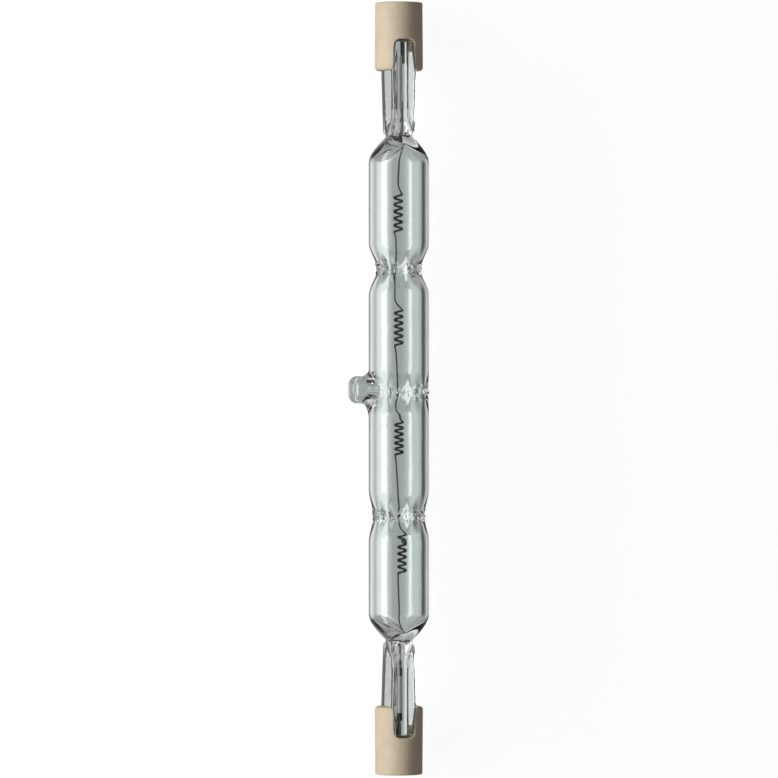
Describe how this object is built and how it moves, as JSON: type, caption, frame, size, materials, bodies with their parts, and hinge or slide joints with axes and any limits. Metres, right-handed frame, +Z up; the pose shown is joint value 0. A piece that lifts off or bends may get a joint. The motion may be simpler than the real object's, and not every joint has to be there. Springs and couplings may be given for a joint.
{
  "type": "linear halogen bulb",
  "caption": "Double-ended linear halogen lamp: pinched clear quartz tube with an exhaust tip, coiled filament, foil seals and slotted ceramic end caps with recessed contacts.",
  "frame": {"origin": "centre of the lying lamp's footprint box, on the floor it rests on", "axes": "+Y along the lamp's axis, towards the end that is uppermost in the picture; +Z up; the exhaust tip points to -X and down, and touches the floor"},
  "size_m": [0.0122, 0.1176, 0.0092],
  "materials": {
    "quartz": "clear fused quartz",
    "tungsten": "dull dark tungsten wire",
    "molybdenum": "dull grey molybdenum",
    "steatite": "unglazed cream steatite",
    "cement": "rough fired cement",
    "nickel": "satin nickel"
  },
  "bodies": {
    "root": {"quartz_envelope": "quartz", "filament": "tungsten", "inner_lead_upper": "molybdenum", "inner_lead_lower": "molybdenum", "seal_foil_upper": "molybdenum", "seal_foil_lower": "molybdenum", "outer_lead_upper": "molybdenum", "outer_lead_lower": "molybdenum", "ceramic_cap_upper": "steatite", "ceramic_cap_lower": "steatite", "cap_cement_upper": "cement", "cap_cement_lower": "cement", "contact_upper": "nickel", "contact_lower": "nickel"}
  },
  "joints": []
}
